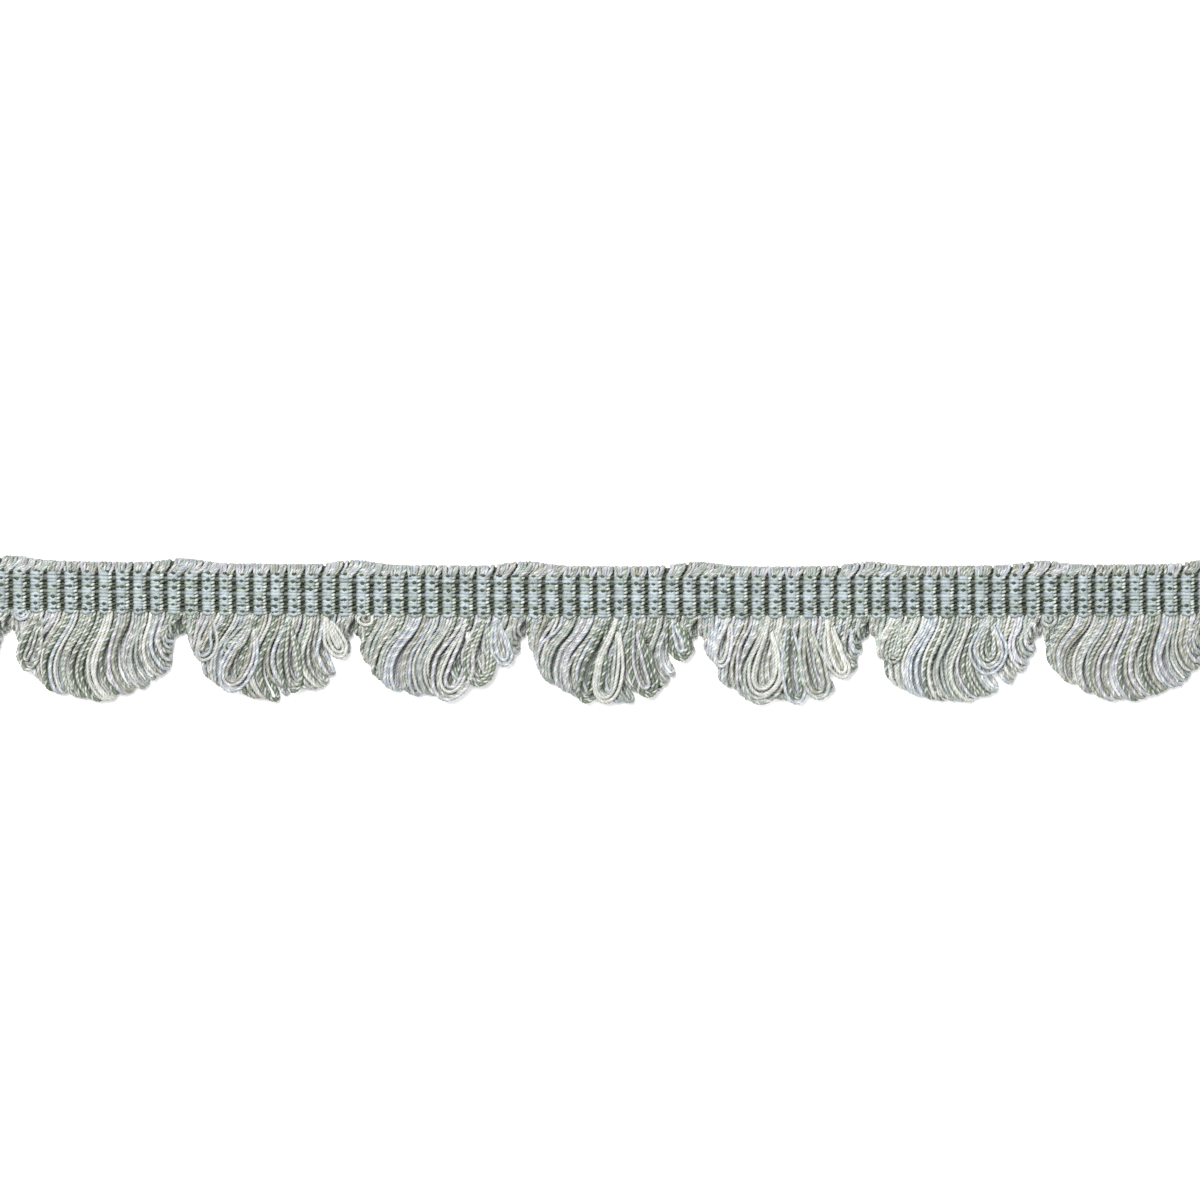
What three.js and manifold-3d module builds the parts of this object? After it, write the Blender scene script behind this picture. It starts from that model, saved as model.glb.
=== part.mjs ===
// Fan edge trim: a cut length of looped furnishing fringe, lying face up on a flat surface.
// X runs along the trim, Y runs across it towards the turned top edge of the heading, and Z is up.
// The heading is a ribbed woven band whose ribs are bundles of yarn under the warp rows.
// Below each ten ribs the bundles hang out as folded loops, whose lengths make one rounded fan.
import * as THREE from "three";
import { mergeVertices } from "three/addons/utils/BufferGeometryUtils.js";
import Module from "manifold-3d";

const wasm = await Module();
wasm.setup();

// Driving dimensions, in millimetres.
const FAN_COUNT = 8;
const RIBS_PER_FAN = 10;
const RIB_PITCH = 3.43;
const FAN_DEPTH = 17.4; // from the heading's lower edge to the lowest loop of a fan
const NOTCH_DEPTH = 4.6; // the same at the notch between two fans
const PIECE_GAP = 0.3; // between neighbouring pieces
const LOOP_GAP = 0.35; // between neighbouring loops
const HEADING_THICKNESS = 2.9; // also of the strips
const GROOVE_THICKNESS = 1.3; // of the heading, in the grooves between its ribs
const STRIP_WIDTH = 1.2; // of the bound edge that carries a fan's loops
const LOOP_THICKNESS = 2.95; // of a folded loop, both of its legs together
const LEG_THICKNESS = 1.2;
const OUTER_SHARE = 0.6; // of a leg's width, on the side that the fold turns outwards
const NARROWEST_LEG = 0.5;
const LOOPS_PER_RIB = 2;
const TOP_PUFF = 0.9; // how far the top edge swells beside each notch
const PUFF_REACH = 5;
const BOW_DEPTH = 1.4; // how far the trim sags over the bow's reach, as it lies
const BOW_REACH = 150;
const BOW_LOWEST = 40; // where along the trim the bow is lowest

const FAN_PITCH = RIBS_PER_FAN * RIB_PITCH;
const TRIM_LENGTH = FAN_COUNT * FAN_PITCH;
const RIB_COUNT = FAN_COUNT * RIBS_PER_FAN;

// The heading's height profile over one rib: how far along the rib, and the thickness there.
const RIB_PROFILE = [
  { along: 0, thickness: GROOVE_THICKNESS },
  { along: 0.17, thickness: 0.84 * HEADING_THICKNESS },
  { along: 0.5, thickness: HEADING_THICKNESS },
  { along: 0.84, thickness: 0.84 * HEADING_THICKNESS },
];

// The heading's rows, from its lower edge up. Relief is the share of the groove that is left,
// fall is the share of the thickness that is left, and slant is how far the ribs lean along X.
const HEADING_ROWS = [
  { across: 0, relief: 1, fall: 1, slant: 0 },
  { across: 7.6, relief: 1, fall: 1, slant: 0 },
  { across: 8.7, relief: 0.45, fall: 0.98, slant: 0.4 },
  { across: 9.6, relief: 0.35, fall: 0.85, slant: 0.9 },
  { across: 10.2, relief: 0.35, fall: 0.42, slant: 1.2 },
];

// One row for each fan. Sweep is how far its loops swing to the left on their way down, drift is
// how far their folds come back to the right, and unevenness is how much their lengths differ.
const FANS = [
  { sweep: 4.6, drift: 1.6, unevenness: 0.015 },
  { sweep: 5.2, drift: 1.8, unevenness: 0.01 },
  { sweep: 3.8, drift: 1.2, unevenness: 0.02 },
  { sweep: 4.8, drift: 1.6, unevenness: 0.03 },
  { sweep: 4.2, drift: 1.4, unevenness: 0.02 },
  { sweep: 1.8, drift: 0.6, unevenness: 0.03 },
  { sweep: 3.4, drift: 1.2, unevenness: 0.02 },
  { sweep: 4.8, drift: 1.6, unevenness: 0.015 },
];

// Where a loop's stations lie along its fold, how high, and which way its outer side points:
// 90 degrees is up on the front leg, 0 is outwards at the fold, and -90 is down on the back leg.
const FRONT_HEIGHT = LOOP_THICKNESS - LEG_THICKNESS / 2;
const BACK_HEIGHT = LEG_THICKNESS / 2;
const LOOP_STATIONS = [
  { along: 0, height: FRONT_HEIGHT - 0.25, tilt: 90 },
  { along: 0.3, height: FRONT_HEIGHT, tilt: 90 },
  { along: 0.6, height: FRONT_HEIGHT, tilt: 90 },
  { along: 0.92, height: FRONT_HEIGHT - 0.1, tilt: 65 },
  { along: 1, height: (FRONT_HEIGHT + BACK_HEIGHT) / 2, tilt: 0 },
  { along: 0.88, height: BACK_HEIGHT, tilt: -90 },
  { along: 0.45, height: BACK_HEIGHT, tilt: -90 },
  { along: 0, height: BACK_HEIGHT + 0.1, tilt: -90 },
];

const materials = {
  heading: new THREE.MeshStandardMaterial({ color: 0x9aa8a6, roughness: 0.75, metalness: 0 }),
  loops: new THREE.MeshStandardMaterial({ color: 0xb4bab1, roughness: 0.6, metalness: 0 }),
};

// How far the trim lies off a straight line at x, as a shallow bow.
function layOffset(x) {
  return BOW_DEPTH * ((x - BOW_LOWEST) / BOW_REACH) ** 2;
}

// How far the top edge swells at x, because the bundles crowd beside each notch.
function topPuff(x) {
  const fromNotch = x - FAN_PITCH * Math.round(x / FAN_PITCH);
  return TOP_PUFF * Math.exp(-((fromNotch / PUFF_REACH) ** 2));
}

// The woven heading: one solid with a flat back, built as a grid of ribs by rows.
function headingGeometry() {
  const left = -TRIM_LENGTH / 2;
  const last = HEADING_ROWS.length - 1;
  const perRib = RIB_PROFILE.length;
  const vertices = [];
  const faces = [];

  function addVertex(x, row, height) {
    const swell = topPuff(x) * THREE.MathUtils.smoothstep(row.across, 7.6, 10.2);
    vertices.push(x, row.across + swell + layOffset(x), height);
    return vertices.length / 3 - 1;
  }
  function topVertex(row, column) {
    const point = RIB_PROFILE[column % perRib];
    const x = left + (Math.floor(column / perRib) + point.along) * RIB_PITCH;
    const fromEnd = THREE.MathUtils.clamp((TRIM_LENGTH / 2 - Math.abs(x)) / RIB_PITCH, 0, 1);
    const relieved = HEADING_THICKNESS - row.relief * (HEADING_THICKNESS - point.thickness);
    return addVertex(x + fromEnd * row.slant, row, row.fall * relieved);
  }
  // Adds a flat face as a fan of triangles from its first corner.
  function addFace(...corners) {
    for (let k = 2; k < corners.length; k++) {
      faces.push(corners[0], corners[k - 1], corners[k]);
    }
  }

  const top = HEADING_ROWS.map((row) => {
    const columns = Array.from({ length: RIB_COUNT * perRib + 1 });
    return columns.map((_, column) => topVertex(row, column));
  });
  const bottom = [HEADING_ROWS[0], HEADING_ROWS[last]].map((row) => {
    const columns = Array.from({ length: RIB_COUNT + 1 });
    return columns.map((_, rib) => addVertex(left + rib * RIB_PITCH, row, 0));
  });

  for (let row = 0; row < last; row++) {
    for (let column = 0; column < RIB_COUNT * perRib; column++) {
      const next = column + 1;
      addFace(top[row][column], top[row][next], top[row + 1][next]);
      addFace(top[row][column], top[row + 1][next], top[row + 1][column]);
    }
  }
  for (let rib = 0; rib < RIB_COUNT; rib++) {
    const from = rib * perRib;
    const lowerEdge = top[0].slice(from, from + perRib + 1);
    const topEdge = top[last].slice(from, from + perRib + 1);
    addFace(bottom[0][rib], bottom[0][rib + 1], ...lowerEdge.reverse());
    addFace(bottom[1][rib + 1], bottom[1][rib], ...topEdge);
    addFace(bottom[0][rib], bottom[1][rib], bottom[1][rib + 1], bottom[0][rib + 1]);
  }
  const leftEnd = top.map((columns) => columns.at(0));
  const rightEnd = top.map((columns) => columns.at(-1));
  addFace(bottom[0].at(0), ...leftEnd, bottom[1].at(0));
  addFace(bottom[0].at(-1), bottom[1].at(-1), ...rightEnd.reverse());

  const geometry = new THREE.BufferGeometry();
  geometry.setAttribute("position", new THREE.Float32BufferAttribute(vertices, 3));
  geometry.setIndex(faces);
  geometry.computeVertexNormals();
  return geometry;
}

// A loop's line seen from above, from its root in the strip to the tip of its fold.
// The tips lie on a half ellipse under the fan, and side runs from -1 at its left to 1 at its right.
function loopLine(fan, root, index) {
  const side = root / (FAN_PITCH / 2);
  const middleness = 1 - side ** 2;
  const tipX = root + fan.drift * middleness;
  const roundness = Math.sqrt(1 - (tipX / (FAN_PITCH / 2 - PIECE_GAP)) ** 2);
  const uneven = 1 + fan.unevenness * Math.sin(2.3 * index + 9 * fan.sweep);
  const reach = (NOTCH_DEPTH + (FAN_DEPTH - NOTCH_DEPTH) * roundness) * uneven;
  const sweep = fan.sweep * middleness * (1 + 0.3 * side);
  return new THREE.CubicBezierCurve(
    new THREE.Vector2(root, -PIECE_GAP - STRIP_WIDTH / 3),
    new THREE.Vector2(root, -0.35 * reach),
    new THREE.Vector2(tipX - sweep, -0.55 * reach),
    new THREE.Vector2(tipX, -reach),
  );
}

// The width that a leg may take at a share of its line, clear of its neighbours and the next fan.
function clearWidth(line, neighbours, share) {
  const at = line.getPoint(share);
  const course = line.getTangent(share);
  const spacings = neighbours.map((other) => {
    const towards = other.getPoint(share).sub(at);
    return Math.abs(towards.cross(course));
  });
  const toNextFan = FAN_PITCH - 2 * Math.abs(at.x);
  return Math.max(NARROWEST_LEG, Math.min(toNextFan, ...spacings) - LOOP_GAP);
}

// One loop as a four-sided bundle of yarn that runs out on top, folds under and runs back below.
function loopGeometry(line, neighbours, centre) {
  const segments = LOOP_STATIONS.length - 1;
  const geometry = new THREE.CylinderGeometry(
    Math.SQRT2, Math.SQRT2, segments, 4, segments, false, Math.PI / 4,
  );
  const position = geometry.getAttribute("position");
  for (let i = 0; i < position.count; i++) {
    const station = LOOP_STATIONS[Math.round(segments / 2 - position.getY(i))];
    const tilt = THREE.MathUtils.degToRad(station.tilt);
    const at = line.getPoint(station.along);
    const course = line.getTangent(station.along);
    const halfWidth = clearWidth(line, neighbours, station.along) / 2;
    // The section's outer side faces local +Z, and its width lies along local X.
    const outwards = (position.getZ(i) * LEG_THICKNESS) / 2;
    const sideways = position.getX(i) * halfWidth * (outwards > 0 ? OUTER_SHARE : 1);
    const level = (outwards - LEG_THICKNESS / 2) * Math.cos(tilt);
    const x = centre + at.x + course.x * level - course.y * sideways;
    const y = at.y + course.y * level + course.x * sideways;
    position.setXYZ(i, x, y + layOffset(x), station.height + outwards * Math.sin(tilt));
  }
  return geometry;
}

// The strip that binds a fan's roots, parted from the heading's lower edge.
function stripGeometry(centre) {
  const length = FAN_PITCH - PIECE_GAP;
  const sections = RIBS_PER_FAN / 2;
  const geometry = new THREE.BoxGeometry(length, STRIP_WIDTH, HEADING_THICKNESS, sections, 1, 1);
  geometry.translate(centre, -PIECE_GAP - STRIP_WIDTH / 2, HEADING_THICKNESS / 2);
  const position = geometry.getAttribute("position");
  for (let i = 0; i < position.count; i++) {
    position.setY(i, position.getY(i) + layOffset(position.getX(i)));
  }
  return geometry;
}

// A closed geometry as a solid that can be joined to others.
function solidOf(geometry) {
  const bare = geometry.clone();
  bare.deleteAttribute("normal");
  bare.deleteAttribute("uv");
  const merged = mergeVertices(bare, 1e-4);
  return new wasm.Manifold(
    new wasm.Mesh({
      numProp: 3,
      vertProperties: merged.getAttribute("position").array,
      triVerts: new Uint32Array(merged.index.array),
    }),
  );
}

// A solid as a geometry for a mesh.
function geometryOf(solid) {
  const mesh = solid.getMesh();
  const geometry = new THREE.BufferGeometry();
  geometry.setAttribute("position", new THREE.BufferAttribute(mesh.vertProperties, 3));
  geometry.setIndex(new THREE.BufferAttribute(mesh.triVerts, 1));
  geometry.computeVertexNormals();
  return geometry;
}

// One fan: its strip with the folded loops rooted in it.
function fanGeometry(index) {
  const centre = (index - (FAN_COUNT - 1) / 2) * FAN_PITCH;
  const lines = [];
  for (let n = 0; n < RIBS_PER_FAN * LOOPS_PER_RIB; n++) {
    const root = ((n + 0.5) / LOOPS_PER_RIB - RIBS_PER_FAN / 2) * RIB_PITCH;
    lines.push(loopLine(FANS[index], root, n));
  }
  let solid = solidOf(stripGeometry(centre));
  lines.forEach((line, n) => {
    const neighbours = [lines[n - 1], lines[n + 1]].filter(Boolean);
    solid = solid.add(solidOf(loopGeometry(line, neighbours, centre)));
  });
  return geometryOf(solid);
}

const trim = new THREE.Group();

const heading = new THREE.Mesh(headingGeometry(), materials.heading);
heading.name = "heading";
trim.add(heading);

for (let index = 0; index < FAN_COUNT; index++) {
  const fan = new THREE.Mesh(fanGeometry(index), materials.loops);
  fan.name = `fan_${index + 1}`;
  trim.add(fan);
}

// The origin is under the middle of the whole trim, on the surface that it lies on.
const extent = new THREE.Box3().setFromObject(trim, true);
const middle = extent.getCenter(new THREE.Vector3());
trim.position.set(-middle.x, -middle.y, -extent.min.z);

export default trim;
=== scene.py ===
"""A cut length of fan edge trim, lying face up on a pale floor, seen from straight above.

The woven heading is a dark ground with pale warps over its ribs and yarn turned over its top edge.
Each rib's yarn hangs on below the heading as loops, and ten ribs' loops make a fan. Most loops lie
side by side like a comb, some open into a teardrop on top of the others, and a few lie under them.
Lengths are in millimetres until a piece's mesh is made. A "straight" point has x along the trim,
y across it from the heading's lower edge, and z up from the floor; settle() adds the trim's bow.
A share is a place across one rib, from 0 at its left groove to 1 at its right one.
"""

import math

import bpy
import numpy as np
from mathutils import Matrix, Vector


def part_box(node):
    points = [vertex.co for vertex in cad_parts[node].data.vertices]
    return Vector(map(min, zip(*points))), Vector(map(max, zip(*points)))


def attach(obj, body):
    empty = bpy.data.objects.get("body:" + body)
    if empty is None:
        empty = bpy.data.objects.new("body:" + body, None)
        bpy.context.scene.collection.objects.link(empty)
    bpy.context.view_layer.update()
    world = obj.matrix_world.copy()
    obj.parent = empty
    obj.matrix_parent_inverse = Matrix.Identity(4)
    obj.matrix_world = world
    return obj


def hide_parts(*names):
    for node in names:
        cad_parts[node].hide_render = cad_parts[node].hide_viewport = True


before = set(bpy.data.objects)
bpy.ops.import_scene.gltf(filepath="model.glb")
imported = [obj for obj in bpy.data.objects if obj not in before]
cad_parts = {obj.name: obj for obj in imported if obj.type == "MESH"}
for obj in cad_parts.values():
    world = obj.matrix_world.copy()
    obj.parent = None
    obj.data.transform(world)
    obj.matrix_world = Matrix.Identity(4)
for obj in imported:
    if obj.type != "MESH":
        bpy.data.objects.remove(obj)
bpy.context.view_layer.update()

MM = 0.001

FAN_COUNT = 8
RIBS_PER_FAN = 10
RIB_PITCH = 3.43
FAN_PITCH = RIBS_PER_FAN * RIB_PITCH
RIB_COUNT = FAN_COUNT * RIBS_PER_FAN
TRIM_LENGTH = FAN_COUNT * FAN_PITCH
LOWER_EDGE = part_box("heading")[0].y / MM

# How far the top edge swells beside each notch, and how far along the trim the swelling reaches.
TOP_PUFF = 0.9
PUFF_REACH = 5

# The shallow bow in which the trim lies: its depth, its reach, and where it is lowest.
BOW_DEPTH = 1.4
BOW_REACH = 150
BOW_LOWEST = 40

# The ground weave: its height in the grooves, how much higher the ribs are, and where across the
# heading it starts to fall towards the top edge.
GROOVE_HEIGHT = 1.2
RIB_RISE = 0.9
FALL_START = 8.3

# The pale warps: their spacing, the shares that each passes through, the middle and half width of
# its stretch over the rib, its height there, its height in the grooves, and that of the few rows
# that bridge the grooves.
WARP_PITCH = 0.62
WARP_STOPS = (
    0.04, 0.09, 0.13, 0.17, 0.25, 0.33, 0.38, 0.42, 0.46, 0.5, 0.54, 0.59, 0.65, 0.7, 0.76,
)
WARP_MIDDLE = 0.415
WARP_HALF = 0.3
WARP_TOP = 2.58
WARP_DIVE = 0.9
BRIDGE_DIVE = 1.65
BRIDGE_ROWS = (0.2, 4.05, 6.9)

# The dark points between the pale warps, beads of dark green thread laid over the gap where the
# warps part, dark partly by the thread's own colour and partly as painted shade of that gap: the
# heights of their rows on the heading, their share, how far they push the pale warps apart, and how
# often one is missing or has another beside it.
DOT_ROWS = (0.5, 1.65, 3.0, 5.1, 6.5, 8.0)
DOT_SHARE = 0.46
DOT_PUSH = 0.5
DOT_MISSING = 0.13
DOT_DOUBLED = 0.22

# The dark threads: how much darker the points are made, as painted shade, and for those across a
# groove the lowest and highest of them, their spacing, and their height.
DOT_PAINTED_SHADE = 0.8
GROOVE_ROWS = (0.3, 8.8, 0.66)
GROOVE_THREAD_HEIGHT = 1.45

# The column of bright stitches: its share, and one stitch's radius and course about its place.
STITCH_SHARE = 0.76
STITCH_RADIUS = 0.25
STITCH_COURSE = (
    (-0.3, -0.14, 1.8),
    (-0.17, -0.08, 2.4),
    (0.03, 0.02, 2.6),
    (0.2, 0.09, 2.4),
    (0.28, 0.13, 1.8),
)

# The yarns that turn over the top edge: how many to a rib, their radius, and how far they lean to
# the right, everywhere and more beside a notch.
TURNS_PER_RIB = 6
TURN_RADIUS = 0.37
TURN_LEAN = 0.4
NOTCH_LEAN = 1.7
NOTCH_LEAN_REACH = 6

# The warps' cut ends: how many at each end of the trim, the place of the lowest, their spacing, and
# the heights of the upper and the lower row and of the lowest point.
CUT_ENDS_PER_SIDE = 40
CUT_END_START = 0.2
CUT_END_PITCH = 0.225
CUT_END_UPPER = 0.9
CUT_END_LOWER = 0.45
CUT_END_LOWEST = 0.35

# The ellipse on which the loops' ends lie, about the middle of the fan, and how far a loop may
# reach to either side.
OUTLINE_TOP = -5.2
OUTLINE_HALF = 16.1
OUTLINE_DEPTH = 11.9
FAN_EDGE = FAN_PITCH / 2 - 0.1

# The loops, and the share of their length by which they are fully open.
YARN_RADIUS = 0.41
STRAND_SPACING = 0.8
STRANDS_PER_RIB = 5
SHORT_LOOPS_PER_SIDE = 3
OPEN_SHARE = 0.66

# The heights of their legs: of the upper and the lower leg where they leave the weave, then on
# top, on the floor, in a teardrop and how much less in each strand inside it, and in a low loop,
# with that loop's half width.
UPPER_ROOT_LEVEL = 1.95
LOWER_ROOT_LEVEL = 0.7
TOP_LEVEL = 2.25
FLOOR_LEVEL = 0.5
DROP_TOP_LEVEL = 2.6
DROP_UNDER_LEVEL = 2.45
DROP_LAYER = 0.06
LOW_LEVEL = 1.05
LOW_HALF = 0.42

# sRGB colours of the plies and threads.
COLOURS = {
    "white": (219, 222, 219),
    "cream": (204, 205, 196),
    "lilac": (187, 185, 192),
    "blue": (181, 190, 199),
    "mist": (168, 180, 174),
    "stone": (165, 168, 159),
    "khaki": (170, 168, 148),
    "sage": (140, 152, 132),
    "moss": (98, 113, 90),
    "warp": (163, 174, 178),
    "reed": (146, 159, 148),
    "stitch": (194, 200, 192),
    "ground": (50, 64, 52),
    "olive": (78, 86, 64),
}

# The yarns: the colours of their plies, the depth of the grooves between the plies, how much their
# colour is darkened in those grooves as painted shade, the length of one turn, and how often each
# yarn comes in the loops.
YARN_COLUMNS = ("plies", "relief", "shade", "lay", "share")
YARNS = {
    name: dict(zip(YARN_COLUMNS, row))
    for name, *row in (
        ("cream", ("cream", "white", "cream"), 0.15, 0.62, 2.2, 0.17),
        ("blue", ("blue", "white", "blue"), 0.15, 0.62, 2.2, 0.16),
        ("lilac", ("lilac", "white", "lilac"), 0.15, 0.62, 2.2, 0.1),
        ("mist", ("mist", "cream", "mist"), 0.17, 0.58, 2.2, 0.14),
        ("khaki", ("khaki", "cream", "stone"), 0.17, 0.58, 2.2, 0.09),
        ("stone", ("stone", "white", "stone"), 0.17, 0.56, 2.2, 0.1),
        ("sage", ("white", "sage", "cream", "sage"), 0.2, 0.55, 2.1, 0.17),
        ("moss", ("white", "moss", "sage", "moss"), 0.2, 0.55, 2.1, 0.09),
    )
}
TURN_SHARES = {"blue": 0.2, "lilac": 0.24, "mist": 0.2, "stone": 0.14, "sage": 0.14, "khaki": 0.08}
SHORT_LOOP_YARNS = ("moss", "sage", "stone", "mist")

# One row for each fan: how far its loops sweep to the left and how far their ends turn to the
# right, in degrees, how much the reach of its bundles varies, how deep it is for its width, and how
# bright its yarns are.
FANS = [
    {"sweep": 2, "hook": 42, "uneven": 0.08, "depth": 1.0, "tone": 1.0},
    {"sweep": 3, "hook": 48, "uneven": 0.07, "depth": 1.06, "tone": 0.95},
    {"sweep": 3, "hook": 44, "uneven": 0.07, "depth": 1.01, "tone": 0.92},
    {"sweep": 10, "hook": 36, "uneven": 0.08, "depth": 0.98, "tone": 0.93},
    {"sweep": 10, "hook": 44, "uneven": 0.07, "depth": 1.03, "tone": 0.95},
    {"sweep": 0, "hook": 26, "uneven": 0.07, "depth": 1.03, "tone": 1.03},
    {"sweep": 2, "hook": 44, "uneven": 0.07, "depth": 1.0, "tone": 1.1},
    {"sweep": 1, "hook": 52, "uneven": 0.05, "depth": 0.98, "tone": 0.98},
]

# Loops that open into a teardrop on top: where the middle of their roots and of their ends lies
# from the fan's middle, half the distance between their roots, half the width of the outermost, the
# number of nested strands, the direction of the end in degrees from straight down, and the yarn.
TEARDROP_COLUMNS = ("fan", "root", "x", "y", "gap", "half", "strands", "turn", "yarn")
TEARDROPS = [
    dict(zip(TEARDROP_COLUMNS, row))
    for row in (
        (0, 8.0, 9.5, -13.6, 0.6, 2.6, 3, 30, "mist"),
        (1, -15.2, -15.2, -2.2, 0.9, 1.4, 2, 0, "blue"),
        (1, -11.5, -14.2, -12.2, 0.4, 2.1, 3, -8, "stone"),
        (2, -11.4, -13.6, -9.7, 0.5, 1.9, 3, -12, "khaki"),
        (2, -3.6, -8.7, -7.8, 0.4, 1.3, 2, -54, "sage"),
        (2, -3.1, -8.6, -15.5, 0.6, 3.1, 3, -30, "blue"),
        (2, 4.3, 5.2, -15.7, 0.3, 1.9, 2, 8, "cream"),
        (2, 11.6, 14.8, -8.7, 0.4, 1.9, 3, 26, "cream"),
        (3, -15.0, -15.0, -2.4, 1.0, 1.6, 2, 0, "lilac"),
        (3, 5.3, 0.3, -17.0, 0.5, 3.9, 4, -24, "mist"),
        (3, 8.9, 7.5, -14.2, 0.8, 3.0, 3, 2, "stone"),
        (3, 11.2, 13.0, -10.2, 0.4, 1.8, 3, 18, "blue"),
        (4, -1.2, -5.7, -17.3, 0.4, 2.1, 2, -6, "moss"),
        (4, 1.0, -1.8, -17.6, 0.4, 2.7, 3, -4, "cream"),
        (4, 4.6, 7.8, -16.0, 0.5, 2.4, 3, 32, "moss"),
        (4, 11.8, 14.1, -8.9, 0.7, 2.1, 3, 14, "moss"),
        (5, -11.0, -13.0, -10.2, 0.4, 1.5, 2, -14, "khaki"),
        (5, -2.8, -4.9, -17.7, 1.3, 4.7, 5, -5, "cream"),
        (5, 1.3, 2.6, -17.8, 0.5, 2.0, 2, 8, "sage"),
        (5, 4.2, 7.4, -16.8, 0.7, 2.5, 3, 14, "cream"),
        (5, 8.8, 12.3, -12.4, 0.5, 1.8, 3, 30, "mist"),
        (6, -11.0, -13.0, -9.7, 0.4, 1.6, 3, -12, "mist"),
        (6, 6.9, 6.8, -12.0, 1.0, 3.8, 4, 10, "blue"),
        (7, -15.9, -15.7, -2.5, 0.9, 1.4, 2, 0, "mist"),
    )
]
# A teardrop wider than this has two low loops under it, so that the floor doesn't show through.
WIDE_DROP_HALF = 1.7

# Loops that lie low between two bundles where the floor would show: their fan, and as above where
# their roots and ends lie and how far they turn.
LOW_LOOPS = [
    {"fan": 6, "root": -2.3, "x": -0.9, "y": -16.3, "turn": 25},
    {"fan": 2, "root": 1.6, "x": 3.4, "y": -16.0, "turn": 20},
]


def linear(name, gain=1.0):
    """A named colour as linear light, made brighter by gain."""
    srgb = np.array(COLOURS[name]) / 255
    return np.where(srgb <= 0.04045, srgb / 12.92, ((srgb + 0.055) / 1.055) ** 2.4) * gain


def smoothstep(x, low, high):
    """From 0 at low to 1 at high, without a corner."""
    t = np.clip((x - low) / (high - low), 0, 1)
    return t * t * (3 - 2 * t)


def settle(points):
    """Straight points in mm to the row frame in metres."""
    settled = np.array(points, float)
    settled[:, 1] += LOWER_EDGE + BOW_DEPTH * ((settled[:, 0] - BOW_LOWEST) / BOW_REACH) ** 2
    return settled * MM


def rib_x(ribs):
    """The x of a place given in ribs from the trim's left end."""
    return ribs * RIB_PITCH - TRIM_LENGTH / 2


def from_notch(x):
    """How far x lies to the right of the nearest notch between two fans."""
    return x - FAN_PITCH * np.round(x / FAN_PITCH)


def top_puff(x):
    """How far the top edge swells at x."""
    return TOP_PUFF * np.exp(-((from_notch(x) / PUFF_REACH) ** 2))


def smooth(path, count=40):
    """A smooth line of count points through the path's points."""
    path = np.asarray(path, float)
    padded = np.vstack([2 * path[0] - path[1], path, 2 * path[-1] - path[-2]])
    t = np.linspace(0, len(path) - 1 - 1e-9, count)
    k = t.astype(int)
    f = (t - k)[:, None]
    a, b, c, d = padded[k], padded[k + 1], padded[k + 2], padded[k + 3]
    cubic = 3 * b - a - 3 * c + d
    return 0.5 * (2 * b + (c - a) * f + (2 * a - 5 * b + 4 * c - d) * f**2 + cubic * f**3)


def resample(path, step, rough_from=None, rough_step=0.55):
    """Points a step apart on the path, a rough step apart after its point rough_from.

    The second value is how far along the path each of them lies.
    """
    lengths = np.r_[0, np.cumsum(np.linalg.norm(np.diff(path, axis=0), axis=1))]
    turn = lengths[-1] if rough_from is None else lengths[rough_from]
    at = np.linspace(0, turn, max(3, int(round(turn / step)) + 1))
    if rough_from is not None:
        rest = max(2, int(round((lengths[-1] - turn) / rough_step)) + 1)
        at = np.r_[at, np.linspace(turn, lengths[-1], rest)[1:]]
    return np.column_stack([np.interp(at, lengths, path[:, k]) for k in range(3)]), at


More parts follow.
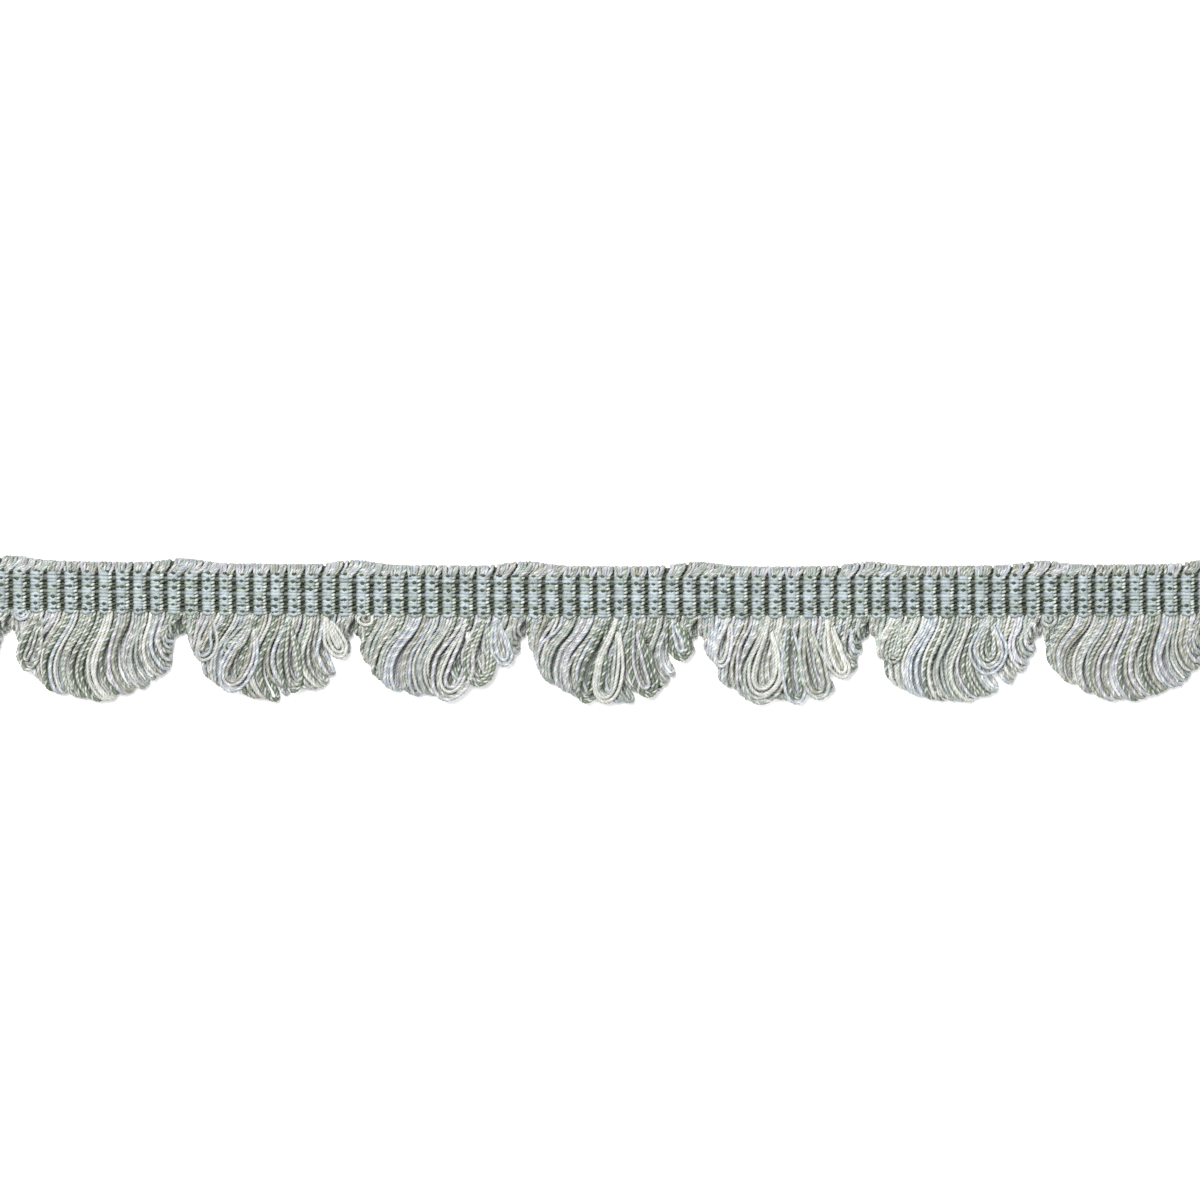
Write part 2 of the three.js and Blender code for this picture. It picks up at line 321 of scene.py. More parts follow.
class Strands:
    """Gathers many yarns and threads into one mesh with a colour for every point."""

    def __init__(self, tone=1.0):
        self.tone = tone
        self.points, self.colours, self.faces, self.uvs = [], [], [], []
        self.ends = []
        self.count = 0

    def add_yarn(self, path, yarn, rng, radius, reference=(0, 0, 1), step=0.27, rough_from=None):
        """A plied yarn along path: its section has a lobe for each ply, and twists; its grooves are
        painted shade.
        """
        kind = YARNS[yarn]
        line, along = resample(np.asarray(path, float), step, rough_from)
        gain = self.tone * rng.uniform(0.9, 1.05)
        base = []
        for ply in kind["plies"]:
            # Each ply's lobe has the ply's colour, and the groove after it the same colour made
            # darker: painted shade.
            base += [linear(ply, gain), linear(ply, gain * kind["shade"])]
        sides = len(base)
        reach = radius * np.tile([1 + 0.4 * kind["relief"], 1 - kind["relief"]], sides // 2)
        twist = 2 * math.pi * along / kind["lay"] + rng.uniform(0, 6)
        colours = np.broadcast_to(base, (len(line), sides, 3))
        self.add_tube(line, along, reach, twist, colours, reference)

    def add_thread(self, line, radius, colours, flatten=1.0, sides=5):
        """A plain thread through the line's points, with a colour for each point."""
        line = np.asarray(line, float)
        along = np.r_[0, np.cumsum(np.linalg.norm(np.diff(line, axis=0), axis=1))]
        shades = np.broadcast_to(np.asarray(colours)[:, None, :], (len(line), sides, 3))
        twist = np.full(len(line), math.pi / 2)
        self.add_tube(line, along, np.full(sides, radius), twist, shades, (0, 0, 1), flatten)

    def add_tube(self, line, along, reach, twist, colours, reference, flatten=1.0):
        """A closed tube about line, with a corner at each reach, turned by twist at each point.

        Reference is a direction that the line never takes, and flatten scales its section that way.
        """
        tangents = np.gradient(line, axis=0)
        tangents /= np.linalg.norm(tangents, axis=1)[:, None]
        across = np.cross(np.broadcast_to(reference, line.shape), tangents)
        across /= np.linalg.norm(across, axis=1)[:, None]
        above = np.cross(tangents, across)
        rows, sides = len(line), len(reach)
        corner = np.arange(sides)
        angles = 2 * math.pi * corner[None, :] / sides + twist[:, None]
        rings = (
            line[:, None, :]
            + (reach * np.cos(angles))[:, :, None] * across[:, None, :]
            + (flatten * reach * np.sin(angles))[:, :, None] * above[:, None, :]
        )
        self.points.append(rings.reshape(-1, 3))
        self.colours.append(colours.reshape(-1, 3))
        ring, k = np.meshgrid(np.arange(rows - 1), corner, indexing="ij")
        here, after = ring * sides + k, ring * sides + (k + 1) % sides
        quads = np.stack([here, after, after + sides, here + sides], axis=-1).reshape(-1, 4)
        self.faces.append(quads + self.count)
        u, u_next = k / sides, (k + 1) / sides
        v, v_next = along[ring], along[ring + 1]
        corners = [(u, v), (u_next, v), (u_next, v_next), (u, v_next)]
        self.uvs.append(np.stack([np.stack(pair, -1) for pair in corners], axis=2).reshape(-1, 2))
        self.ends += [self.count + corner[::-1], self.count + (rows - 1) * sides + corner]
        self.count += rows * sides

    def make(self, name, material, slot):
        """The gathered strands as one piece of the model."""
        points = settle(np.concatenate(self.points))
        sides = np.concatenate(self.faces)
        colours = np.concatenate(self.colours)
        corners = np.concatenate([sides.ravel()] + self.ends)
        totals = np.array([4] * len(sides) + [len(end) for end in self.ends])
        end_uvs = np.zeros((len(corners) - sides.size, 2))
        mesh = bpy.data.meshes.new(name)
        mesh.vertices.add(len(points))
        mesh.vertices.foreach_set("co", points.astype(np.float32).ravel())
        mesh.loops.add(len(corners))
        mesh.loops.foreach_set("vertex_index", corners.astype(np.int32))
        mesh.polygons.add(len(totals))
        mesh.polygons.foreach_set("loop_start", (np.cumsum(totals) - totals).astype(np.int32))
        mesh.polygons.foreach_set("loop_total", totals.astype(np.int32))
        mesh.polygons.foreach_set("use_smooth", np.ones(len(totals), dtype=bool))
        shade = mesh.color_attributes.new("Col", "FLOAT_COLOR", "POINT")
        rgba = np.column_stack([colours, np.ones(len(colours))])
        shade.data.foreach_set("color", rgba.astype(np.float32).ravel())
        uv = mesh.uv_layers.new(name="along")
        uv.data.foreach_set("uv", np.concatenate(self.uvs + [end_uvs]).astype(np.float32).ravel())
        mesh.update()
        mesh.validate()
        return add_piece(name, mesh, material)


def add_piece(name, mesh, material):
    """The mesh as a piece that rides on the root body."""
    piece = bpy.data.objects.new(name, mesh)
    bpy.context.scene.collection.objects.link(piece)
    mesh.materials.append(material)
    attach(piece, "root")
    return piece


# Materials


def new_material(name, settings):
    """A material whose shader has these settings, its shader, and its links."""
    material = bpy.data.materials.new(name)
    material.use_nodes = True
    shader = material.node_tree.nodes["Principled BSDF"]
    for key, value in settings.items():
        shader.inputs[key].default_value = value
    return material, shader, material.node_tree.links


def add_node(material, kind, **settings):
    """A shader node, with settings for its inputs or its own options."""
    node = material.node_tree.nodes.new(kind)
    for name, value in settings.items():
        if name in node.inputs:
            node.inputs[name].default_value = value
        else:
            setattr(node, name, value)
    return node


def remap(material, source, low, high):
    """The noise's middle values spread from low to high."""
    spread = add_node(material, "ShaderNodeMapRange")
    for name, value in {"From Min": 0.3, "From Max": 0.7, "To Min": low, "To Max": high}.items():
        spread.inputs[name].default_value = value
    material.node_tree.links.new(source, spread.inputs["Value"])
    return spread.outputs["Result"]


def yarn_material(name, roughness, sheen):
    """Plied yarn: its ply colours, streaked by fibres that run along the ply."""
    settings = {"Roughness": roughness, "Sheen Weight": sheen, "Sheen Roughness": 0.4}
    material, shader, links = new_material(name, settings)
    colour = add_node(material, "ShaderNodeAttribute", attribute_name="Col")
    along = add_node(material, "ShaderNodeUVMap", uv_map="along")
    stretch = add_node(material, "ShaderNodeMapping", Scale=(18, 1.3, 1))
    links.new(along.outputs["UV"], stretch.inputs["Vector"])
    fibres = add_node(material, "ShaderNodeTexNoise", Scale=1.0, Detail=3.0)
    links.new(stretch.outputs["Vector"], fibres.inputs["Vector"])
    place = add_node(material, "ShaderNodeTexCoord")
    patches = add_node(material, "ShaderNodeTexNoise", Scale=600.0, Detail=2.0)
    links.new(place.outputs["Object"], patches.inputs["Vector"])
    gain = add_node(material, "ShaderNodeMath", operation="MULTIPLY")
    links.new(remap(material, fibres.outputs["Fac"], 0.84, 1.08), gain.inputs[0])
    links.new(remap(material, patches.outputs["Fac"], 0.82, 1.08), gain.inputs[1])
    tint = add_node(material, "ShaderNodeVectorMath", operation="SCALE")
    links.new(colour.outputs["Color"], tint.inputs["Vector"])
    links.new(gain.outputs["Value"], tint.inputs["Scale"])
    links.new(tint.outputs["Vector"], shader.inputs["Base Color"])
    bump = add_node(material, "ShaderNodeBump", Strength=0.5, Distance=0.00008)
    links.new(fibres.outputs["Fac"], bump.inputs["Height"])
    links.new(bump.outputs["Normal"], shader.inputs["Normal"])
    return material


def ground_material():
    """The dark ground weave that shows in the grooves."""
    settings = {"Roughness": 0.85, "Sheen Weight": 0.15}
    material, shader, links = new_material("ground_weave", settings)
    place = add_node(material, "ShaderNodeTexCoord")
    rows = add_node(
        material, "ShaderNodeTexWave", wave_type="BANDS", bands_direction="Y", Scale=420.0,
        Distortion=1.5, Detail=2.0,
    )
    links.new(place.outputs["Object"], rows.inputs["Vector"])
    speckle = add_node(material, "ShaderNodeTexNoise", Scale=2500.0)
    links.new(place.outputs["Object"], speckle.inputs["Vector"])
    mix = add_node(material, "ShaderNodeMix", data_type="RGBA")
    mix.inputs["A"].default_value = (*linear("ground", 0.8), 1)
    mix.inputs["B"].default_value = (*linear("olive"), 1)
    links.new(remap(material, speckle.outputs["Fac"], 0.0, 1.0), mix.inputs["Factor"])
    links.new(mix.outputs["Result"], shader.inputs["Base Color"])
    bump = add_node(material, "ShaderNodeBump", Strength=0.6, Distance=0.0002)
    links.new(rows.outputs["Fac"], bump.inputs["Height"])
    links.new(bump.outputs["Normal"], shader.inputs["Normal"])
    return material


# The heading


def ground_height(x):
    """The height of the ground weave's ribs and grooves at x."""
    share = np.mod((x + TRIM_LENGTH / 2) / RIB_PITCH, 1)
    return GROOVE_HEIGHT + RIB_RISE * smoothstep(np.minimum(share, 1 - share), 0.1, 0.2)


def make_ground(material):
    """The ground weave as one ribbed band, closed at its back."""
    stops = np.array([0, 0.1, 0.13, 0.17, 0.21, 0.5, 0.79, 0.83, 0.87, 0.9])
    columns = rib_x(np.append((np.arange(RIB_COUNT)[:, None] + stops).ravel(), RIB_COUNT))
    # Each row's place across the heading, and its share of the full height.
    rows = [
        {"across": 0.0, "height": 0.0},
        {"across": -0.05, "height": 0.5},
        {"across": 0.0, "height": 1.0},
        {"across": 2.8, "height": 1.0},
        {"across": 5.6, "height": 1.0},
        {"across": FALL_START, "height": 1.0},
        {"across": 9.2, "height": 0.7},
        {"across": 9.5, "height": 0.4},
        {"across": 9.5, "height": 0.0},
    ]
    points = []
    for row in rows:
        across = row["across"] + top_puff(columns) * max(0, row["across"] - FALL_START)
        points.append(np.column_stack([columns, across, row["height"] * ground_height(columns)]))
    width, count = len(columns), len(rows)
    faces = []
    for row in range(count):
        low, high = row * width, (row + 1) % count * width
        faces += [[low + k, low + k + 1, high + k + 1, high + k] for k in range(width - 1)]
    faces.append([row * width for row in range(count)])
    faces.append([row * width + width - 1 for row in reversed(range(count))])
    mesh = bpy.data.meshes.new("heading_ground")
    mesh.from_pydata(settle(np.concatenate(points)).tolist(), [], faces)
    mesh.polygons.foreach_set("use_smooth", np.ones(len(mesh.polygons), dtype=bool))
    mesh.update()
    return add_piece("heading_ground", mesh, material)


def warp_places():
    """The heights and spacing of the pale warps, which fill the space between the dark points."""
    places = []
    edges = (-0.15,) + DOT_ROWS
    for low, high in zip(edges, edges[1:]):
        count = round((high - low) / WARP_PITCH)
        pitch = (high - low) / count
        places += [(low + pitch * (number + 0.5), pitch) for number in range(count)]
    return places


def draw_dots():
    """For each row of dark points, how large the one on each rib is and how far it strays."""
    rng = np.random.default_rng(8)
    dots = {}
    for across in DOT_ROWS:
        size = rng.uniform(0.45, 1.2, RIB_COUNT) * (rng.random(RIB_COUNT) > DOT_MISSING)
        aside, up = rng.normal(0, 0.035, RIB_COUNT), rng.normal(0, 0.1, RIB_COUNT)
        dots[across] = {"size": size, "aside": aside, "up": up}
    return dots


def make_pale_warps(material):
    """Pale warps over the left of each rib, parted by the dark points in its middle."""
    strands = Strands()
    rng = np.random.default_rng(3)
    ribs, stops = np.meshgrid(np.arange(RIB_COUNT), WARP_STOPS, indexing="ij")
    x = rib_x(ribs + stops).ravel()
    share, rib = stops.ravel(), ribs.ravel()
    over = np.clip(1 - np.abs((share - WARP_MIDDLE) / WARP_HALF) ** 6, 0, 1)
    dots = draw_dots()
    places = warp_places()
    bridges = [min(places, key=lambda place: abs(place[0] - row))[0] for row in BRIDGE_ROWS]
    for across, pitch in places:
        push = np.zeros(len(x))
        for row, dot in dots.items():
            away = math.copysign(math.exp(-(((across - row) / 0.5) ** 2)), across - row)
            near_dot = np.exp(-(((share - DOT_SHARE - dot["aside"][rib]) / 0.095) ** 2))
            push += DOT_PUSH * away * near_dot * dot["size"][rib]
        dive = BRIDGE_DIVE if across in bridges else WARP_DIVE
        z = dive + (WARP_TOP - dive) * over
        z = z + rng.normal(0, 0.03, len(x)) + rng.normal(0, 0.04, RIB_COUNT)[rib]
        y = across + push + rng.normal(0, 0.03, len(x))
        green = rng.choice([0.0, 0.35, 0.8], RIB_COUNT, p=[0.6, 0.25, 0.15])[rib][:, None]
        # Each rib's warps vary in tone at random, and are darker by half where they dive into a
        # groove: painted shade.
        gain = rng.uniform(0.8, 1.08, RIB_COUNT)[rib][:, None] * (0.5 + 0.5 * over[:, None])
        colours = gain * ((1 - green) * linear("warp") + green * linear("reed"))
        strands.add_thread(np.column_stack([x, y, z]), 0.6 * pitch, colours, flatten=0.6)
    return strands.make("pale_warps", material, "heading")


def dark_colours(count, rng):
    """Colours between the dark green and the olive of the ground, drawn at random."""
    mix = rng.uniform(0, 1, count)[:, None]
    return (1 - mix) * linear("ground") + mix * linear("olive", 0.9)


def make_dark_warps(material):
    """Dark green threads: those that come up as a point on each rib, made darker as painted shade
    of the gap in the warps there, and those in the grooves.
    """
    strands = Strands()
    rng = np.random.default_rng(4)
    stops = np.array([0.25, 0.36, 0.41, 0.46, 0.51, 0.56, 0.75])
    rise = np.tile(np.exp(-(((stops - DOT_SHARE) / 0.075) ** 4)), RIB_COUNT)
    bead = np.array([(-0.2, 0, 2.3), (-0.12, 0, 2.7), (0, 0, 2.82), (0.12, 0, 2.7), (0.2, 0, 2.3)])
    for across, dot in draw_dots().items():
        x = rib_x((np.arange(RIB_COUNT)[:, None] + stops + dot["aside"][:, None]).ravel())
        z = ground_height(x) + 0.05 + np.repeat(0.6 * dot["size"] ** 0.5, len(stops)) * rise
        y = across + np.repeat(dot["up"], len(stops))
        # Dark green thread made darker: painted shade of the gap where the pale warps part.
        colours = DOT_PAINTED_SHADE * dark_colours(len(x), rng)
        strands.add_thread(np.column_stack([x, y, z]), radius=0.3, colours=colours)
        for rib in np.flatnonzero(rng.random(RIB_COUNT) < DOT_DOUBLED):
            beside = rib_x(rib + DOT_SHARE + rng.choice([-0.2, 0.16]))
            place = (beside, across + rng.normal(0, 0.1), rng.normal(0, 0.05))
            radius = rng.uniform(0.16, 0.24)
            # The bead beside it is darkened the same way: painted shade.
            colours = DOT_PAINTED_SHADE * dark_colours(len(bead), rng)
            strands.add_thread(bead + place, radius, colours)
    for rib in range(1, RIB_COUNT):
        x = rib_x(rib) + np.array([-0.55, -0.2, 0.2, 0.55])
        for across in np.arange(*GROOVE_ROWS):
            y = across + rng.normal(0, 0.08) + np.array([-0.1, 0, 0.05, 0.1])
            z = GROOVE_THREAD_HEIGHT + rng.normal(0, 0.08) + np.array([0.1, 0, 0, 0.1])
            colours = dark_colours(len(x), rng) * rng.uniform(0.8, 1.3)
            course = np.column_stack([x, y, z])
            strands.add_thread(course, radius=0.27, colours=colours, sides=4)
    return strands.make("dark_warps", material, "heading")


def make_cut_ends(material):
    """The warps' ends, cut off just past the first and the last rib."""
    strands = Strands()
    rng = np.random.default_rng(6)
    for side in (-1, 1):
        for number in range(CUT_ENDS_PER_SIDE):
            upper = number % 2
            pale = upper and rng.random() < 0.7
            colours = [0.8 * linear("warp")] * 3 if pale else dark_colours(3, rng)
            x = side * (TRIM_LENGTH / 2 + np.array([-0.6, -0.1, rng.uniform(0.1, 0.45)]))
            y = CUT_END_START + CUT_END_PITCH * number + rng.normal(0, 0.05)
            y = y + np.array([0, 0, rng.normal(0, 0.1)])
            z = (CUT_END_UPPER if upper else CUT_END_LOWER) + rng.normal(0, 0.06)
            z = np.maximum(z + np.array([0, 0, rng.normal(0, 0.08)]), CUT_END_LOWEST)
            strands.add_thread(np.column_stack([x, y, z]), rng.uniform(0.22, 0.28), colours)
    return strands.make("cut_ends", material, "heading")


def make_stitches(material):
    """The bright stitches that stand in a column down the right of each rib."""
    strands = Strands()
    rng = np.random.default_rng(5)
    course = np.array(STITCH_COURSE)
    for rib in range(RIB_COUNT):
        x = rib_x(rib + STITCH_SHARE)
        for across, _ in warp_places():
            place = (x + rng.normal(0, 0.07), across + rng.normal(0, 0.06), rng.normal(0, 0.04))
            green = rng.choice([0.0, 0.6], p=[0.75, 0.25])
            gain = rng.uniform(0.55, 1.12)
            colour = gain * ((1 - green) * linear("stitch") + green * linear("reed"))
            strands.add_thread(course + place, STITCH_RADIUS, [colour] * len(course))
    return strands.make("stitches", material, "heading")


def turned_path(low, high, rise, lift):
    """Yarn that leaves the weave at x = low and goes under the top edge at x = high.

    Rise is how far the top edge swells there, and lift is how much higher the yarn lies.
    """
    path = [
        (low, 7.3, 1.7),
        (low, 7.9, 2.2 + lift),
        (low + 0.45 * (high - low), 8.5 + 0.3 * rise, 2.42 + lift),
        (low + 0.9 * (high - low), 9.1 + 0.7 * rise, 2.32 + lift),
        (low + 0.98 * (high - low), 9.6 + rise, 1.95 + lift),
        (high, 9.83 + rise, 1.35),
        (high + 0.1, 9.7 + rise, 0.75),
        (high + 0.2, 9.1 + 0.8 * rise, 0.47),
        (high + 0.25, 8.3, 0.47),
    ]
    path = smooth(path)
    inside = TRIM_LENGTH / 2 - 0.5
    path[:, 0] = np.clip(path[:, 0], -inside, inside)
    return path


def make_top_turns(material):
    """The bundles where they leave the weave, lean to the right and turn over the top edge."""
    strands = Strands(tone=0.95)
    rng = np.random.default_rng(7)
    yarns, shares = list(TURN_SHARES), list(TURN_SHARES.values())
    for rib in range(RIB_COUNT):
        left = rib_x(rib)
        aside = float(from_notch(left + RIB_PITCH / 2)) / NOTCH_LEAN_REACH
        lean = TURN_LEAN + NOTCH_LEAN * math.exp(-(aside**2)) + rng.normal(0, 0.06)
        for number in range(TURNS_PER_RIB):
            low = left + RIB_PITCH * (0.2 + 0.118 * number)
            high = left + RIB_PITCH * (0.04 + 0.168 * number) + lean + rng.normal(0, 0.12)
            rise = top_puff(high) + rng.normal(0, 0.03)
            path = turned_path(low, high, rise, lift=rng.normal(0, 0.1))
            yarn = rng.choice(yarns, p=shares)
            strands.add_yarn(path, yarn, rng, TURN_RADIUS, reference=(1, 0, 0), step=0.3)
    return strands.make("top_turns", material, "heading")


# The fans


def pick_yarn(rng, last=None):
    """A yarn for a loop, now and then the same as the one beside it."""
    if last and rng.random() < 0.1:
        return last
    names = list(YARNS)
    shares = np.array([YARNS[name]["share"] for name in names])
    return names[rng.choice(len(names), p=shares / shares.sum())]


def bezier(p0, p1, p2, p3, t):
    """The curve's points and directions at the shares t."""
    t = np.asarray(t)[:, None]
    p0, p1, p2, p3 = (np.array(p, float) for p in (p0, p1, p2, p3))
    at = (1 - t) ** 3 * p0 + 3 * (1 - t) ** 2 * t * p1 + 3 * (1 - t) * t**2 * p2 + t**3 * p3
    course = 3 * (1 - t) ** 2 * (p1 - p0) + 6 * (1 - t) * t * (p2 - p1) + 3 * t**2 * (p3 - p2)
    return at, course / np.linalg.norm(course, axis=1)[:, None]


def loop_path(
    root, tip, turn, half, rng, gap=0.0, short=0.0, bend=0.5, top=TOP_LEVEL, under=FLOOR_LEVEL
):
    """A loop out on the left of its middle line, round its end and back on the right.

    The middle line runs from root on the heading's lower edge to tip, where it points turn radians
    to the right of straight down, and bend is how early it takes that direction. Gap and half are
    half the loop's width, at its root and where it has opened, and short is how far its end stays
    from the tip. Top and under are the heights of its left and its right leg.
    The second value is the point of the path where the right leg starts.
    """
    tip = np.array(tip, float)
    length = math.hypot(tip[0] - root, tip[1])
    end = np.array([math.sin(turn), -math.cos(turn)])
    start = (root, 0.3)
    leave = (root + 0.12 * (tip[0] - root), -0.33 * length)
    middle = (start, leave, tip - bend * length * end, tip)
    fine, _ = bezier(*middle, np.linspace(0, 1, 40))
    middle_length = np.linalg.norm(np.diff(fine, axis=0), axis=1).sum()
    last = 1 - short / middle_length
    first = max(0.35, last - 1.4 * half / middle_length)
    out = np.linspace(0, first, 26)
    around = np.linspace(0, math.pi, 18)[1:-1]
    share = np.r_[out, first + (last - first) * np.sin(around), out[::-1]]
    leg = np.r_[np.ones(len(out)), np.cos(around), -np.ones(len(out))]
    opened = smoothstep(share, 0.0, OPEN_SHARE)
    at, course = bezier(*middle, share)
    leftward = np.column_stack([course[:, 1], -course[:, 0]])
    sway = rng.normal(0, 0.12) * np.sin(6 * share + rng.uniform(0, 6))
    sway = sway + rng.normal(0, 0.06) * np.sin(17 * share + rng.uniform(0, 6))
    sway = sway * smoothstep(share, 0, 0.3)
    flat = at + leftward * ((gap * (1 - opened) + half * opened) * leg + sway)[:, None]
    level = under + (top - under) * (0.5 + 0.5 * leg) ** 1.3
    at_root = np.where(leg > 0, UPPER_ROOT_LEVEL, LOWER_ROOT_LEVEL)
    z = at_root + (level - at_root) * smoothstep(share, 0.0, 0.3)
    return np.column_stack([flat, z]), len(out) + len(around)


def under_teardrop(points, drop):
    """From 0 to 1, how far the points lie under the teardrop."""
    root, tip = np.array([drop["root"], 0.0]), np.array([drop["x"], drop["y"]])
    axis = tip - root
    share = (points - root) @ axis / (axis @ axis)
    aside = np.abs((points - root) @ np.array([-axis[1], axis[0]]) / np.linalg.norm(axis))
    opened = smoothstep(share, 0, OPEN_SHARE)
    width = drop["gap"] * (1 - opened) + drop["half"] * opened
    width = width * np.sqrt(np.clip(1 - (np.maximum(share - 0.78, 0) / 0.24) ** 2, 0, 1))
    return smoothstep(width + 0.5 - aside, 0, 0.7) * smoothstep(share, 0.05, 0.25)


class Fan:
    """One fan's loops, with x from the fan's middle until they are added to its strands."""

    def __init__(self, index):
        self.look = FANS[index]
        self.rng = np.random.default_rng(40 + index)
        self.centre = (index - (FAN_COUNT - 1) / 2) * FAN_PITCH
        self.depth = OUTLINE_DEPTH * self.look["depth"]
        self.teardrops = [drop for drop in TEARDROPS if drop["fan"] == index]
        self.strands = Strands(self.look["tone"])

    def hold(self, points):
        """Keeps a loop on its own side of the notches and inside the rounded outline."""
        x = np.clip(points[:, 0], -FAN_EDGE, FAN_EDGE)
        below = np.minimum(points[:, 1] - OUTLINE_TOP, 0)
        reach = np.hypot(x / (OUTLINE_HALF + 0.5), below / (self.depth + 0.4))
        scale = np.where((below < 0) & (reach > 1), 1 / reach, 1)
        y = np.where(below < 0, below * scale + OUTLINE_TOP, points[:, 1])
        return np.column_stack([x * scale, y])

    def add_loop(self, yarn, drops=(), **shape):
        """A loop of this yarn, sunk where it lies under one of the teardrops in drops."""
        path, back = loop_path(rng=self.rng, **shape)
        flat = self.hold(path[:, :2])
        z = path[:, 2]
        for drop in drops:
            z = np.minimum(z, TOP_LEVEL + 0.3 - 1.1 * under_teardrop(flat, drop))
        z = np.maximum(z, FLOOR_LEVEL)
        path = np.column_stack([flat[:, 0] + self.centre, flat[:, 1], z])
        radius = YARN_RADIUS * self.rng.uniform(0.9, 1.08)
        self.strands.add_yarn(path, yarn, self.rng, radius, rough_from=back)

    def add_low_loop(self, root, x, y, turn):
        """A narrow loop under the others, that ends at x, y."""
        self.add_loop(
            pick_yarn(self.rng), root=root, tip=(x, y), turn=math.radians(turn), half=LOW_HALF,
            bend=0.4, top=LOW_LEVEL,
        )

    def comb_tip(self, around, reach, half):
        """The end of a comb loop: on the outline, but short of a teardrop's end that lies there."""
        x = OUTLINE_HALF * reach * math.sin(around)
        x = float(np.clip(x, half - FAN_EDGE, FAN_EDGE - 0.8 * half))
        y = OUTLINE_TOP - self.depth * reach * math.cos(around)
        for drop in self.teardrops:
            if abs(x - drop["x"]) < drop["half"] + 0.4 and y > drop["y"] - 2.25:
                y = max(y, drop["y"] + 1.6)
        return x, y

    def add_comb(self):
        """The loops that lie side by side, in one bundle for each rib."""
        rng, look = self.rng, self.look
        yarn = None
        for rib in range(RIBS_PER_FAN):
            middle = (rib + 0.5 - RIBS_PER_FAN / 2) * RIB_PITCH
            bundle_reach = 1 - look["uneven"] * rng.random()
            bundle_turn, bundle_shift = rng.normal(0, 4), rng.normal(0, 1.5)
            for number in range(STRANDS_PER_RIB):
                from_middle = (number - (STRANDS_PER_RIB - 1) / 2) / STRANDS_PER_RIB
                side = (middle + from_middle * RIB_PITCH) / (FAN_PITCH / 2)
                shift = bundle_shift * (1 - side**2) + rng.normal(0, 1.5)
                around = math.radians(92 * side - look["sweep"] * (1 - side**2) + shift)
                reach = bundle_reach * rng.uniform(0.985, 1.0) * (1.01 - 0.2 * from_middle**2)
                hook = look["hook"] * (1 - 0.45 * max(side, 0)) + bundle_turn + rng.normal(0, 3)
                most = math.radians(50 + rng.normal(0, 4))
                half = rng.uniform(0.7, 1.0) - 0.2 * side**2
                level = TOP_LEVEL + rng.normal(0, 0.14) - (0.5 if rng.random() < 0.18 else 0)
                yarn = pick_yarn(rng, yarn)
                self.add_loop(
                    yarn,
                    drops=self.teardrops,
                    root=middle + from_middle * 3.1 + 0.3 * side**5,
                    tip=self.comb_tip(around, reach, half),
                    turn=min(0.6 * around + math.radians(hook), most),
                    half=half,
                    top=level,
                )

    def add_short_loops(self):
        """The short loops that crowd beside the notches at both sides of the fan."""
        rng = self.rng
        for side in (-1, 1):
            for number in range(SHORT_LOOPS_PER_SIDE):
                x = side * (FAN_EDGE - 0.7 - 0.8 * number)
                self.add_loop(
                    rng.choice(SHORT_LOOP_YARNS),
                    drops=self.teardrops,
                    root=side * (FAN_EDGE - 0.6 - 1.1 * number),
                    tip=(x, -3.7 - 0.5 * number - rng.uniform(0, 0.4)),
                    turn=math.radians(side * 14),
                    half=rng.uniform(0.5, 0.8),
                    top=TOP_LEVEL + 0.2,
                )

    def add_teardrop(self, drop):
        """Nested loops that lie open on top of the others."""
        rng = self.rng
        if drop["half"] > WIDE_DROP_HALF:
            for aside in (-0.5, 0.5):
                x = drop["x"] + aside * drop["half"]
                self.add_low_loop(drop["root"] + aside, x, drop["y"] + 1.3, drop["turn"])
        for number in range(drop["strands"]):
            same = rng.random() < 0.4
            inner = STRAND_SPACING * (number + rng.normal(0, 0.15) * (number > 0))
            self.add_loop(
                drop["yarn"] if same else pick_yarn(rng),
                root=drop["root"] + rng.normal(0, 0.15),
                tip=(drop["x"] + rng.normal(0, 0.15), drop["y"] + YARN_RADIUS + rng.normal(0, 0.1)),
                turn=math.radians(drop["turn"] + rng.normal(0, 3)),
                gap=max(drop["gap"] - 0.5 * number, 0.1),
                half=max(drop["half"] - inner, 0.3),
                short=inner,
                bend=0.4,
                top=DROP_TOP_LEVEL - DROP_LAYER * number,
                under=DROP_UNDER_LEVEL - DROP_LAYER * number,
            )


def make_fan(index, material):
    """A fan's loops as one piece, in place of the fan's solid."""
    fan = Fan(index)
    fan.add_comb()
    fan.add_short_loops()
    for drop in fan.teardrops:
        fan.add_teardrop(drop)
    for low in LOW_LOOPS:
        if low["fan"] == index:
            fan.add_low_loop(low["root"], low["x"], low["y"], low["turn"])
    piece = fan.strands.make(f"fan_{index + 1}_loops", material, "loops")
    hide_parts(f"fan_{index + 1}")
    return piece


# The camera, the floor and the lights


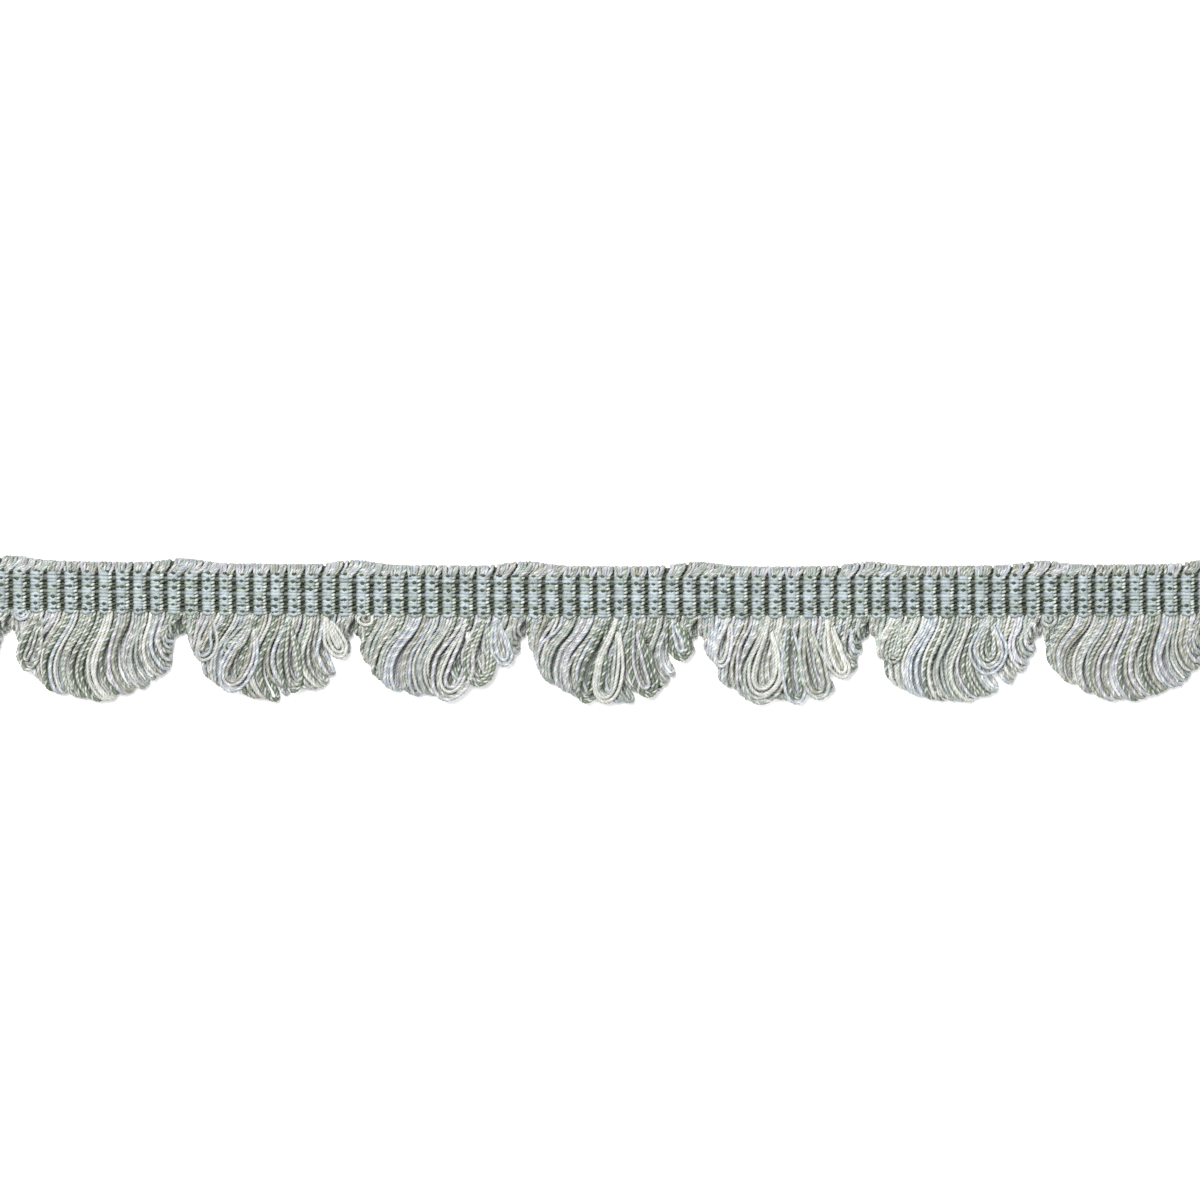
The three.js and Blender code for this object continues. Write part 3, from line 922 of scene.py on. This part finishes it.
def make_camera():
    """A long lens straight above, framed as in the photo."""
    camera = bpy.data.cameras.new("camera")
    camera.sensor_width = 36
    camera.lens = 180
    camera.clip_end = 10
    holder = bpy.data.objects.new("camera", camera)
    bpy.context.scene.collection.objects.link(holder)
    holder.location = (0.0147, 0.0058, 1.2)
    bpy.context.scene.camera = holder


def make_floor():
    """A nearly white floor, 4 m by 4 m."""
    settings = {
        "Base Color": (0.92, 0.92, 0.92, 1),
        "Roughness": 0.9,
        "Emission Color": (1, 1, 1, 1),
        "Emission Strength": 0.15,
    }
    material, _, _ = new_material("floor", settings)
    mesh = bpy.data.meshes.new("floor")
    mesh.from_pydata([(-2, -2, 0), (2, -2, 0), (2, 2, 0), (-2, 2, 0)], [], [(0, 1, 2, 3)])
    mesh.materials.append(material)
    floor = bpy.data.objects.new("floor", mesh)
    bpy.context.scene.collection.objects.link(floor)


def add_light(name, location, size, power):
    """A square light that shines on the middle of the trim."""
    light = bpy.data.lights.new(name, "AREA")
    light.size = size
    light.energy = power
    holder = bpy.data.objects.new(name, light)
    bpy.context.scene.collection.objects.link(holder)
    holder.location = location
    holder.rotation_euler = (-Vector(location)).to_track_quat("-Z", "Y").to_euler()


def make_lights():
    """A large key light at the upper left, a weak fill at the lower right, and a white sky."""
    add_light("key", location=(-0.45, 0.55, 1.35), size=0.85, power=34)
    add_light("fill", location=(0.9, -0.5, 1.2), size=1.2, power=7)
    world = bpy.data.worlds.new("studio")
    world.use_nodes = True
    background = world.node_tree.nodes["Background"]
    background.inputs["Color"].default_value = (1, 1, 1, 1)
    background.inputs["Strength"].default_value = 0.48
    bpy.context.scene.world = world
    bpy.context.scene.view_settings.view_transform = "Standard"


make_camera()
make_floor()
make_lights()

loop_yarn = yarn_material("loop_yarn", roughness=0.5, sheen=0.25)
warp_thread = yarn_material("warp_thread", roughness=0.5, sheen=0.2)

ground = make_ground(ground_material())
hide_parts("heading")
heading_parts = [
    make_pale_warps(warp_thread),
    make_dark_warps(warp_thread),
    make_cut_ends(warp_thread),
    make_stitches(warp_thread),
    make_top_turns(loop_yarn),
]
fans = [make_fan(index, loop_yarn) for index in range(FAN_COUNT)]
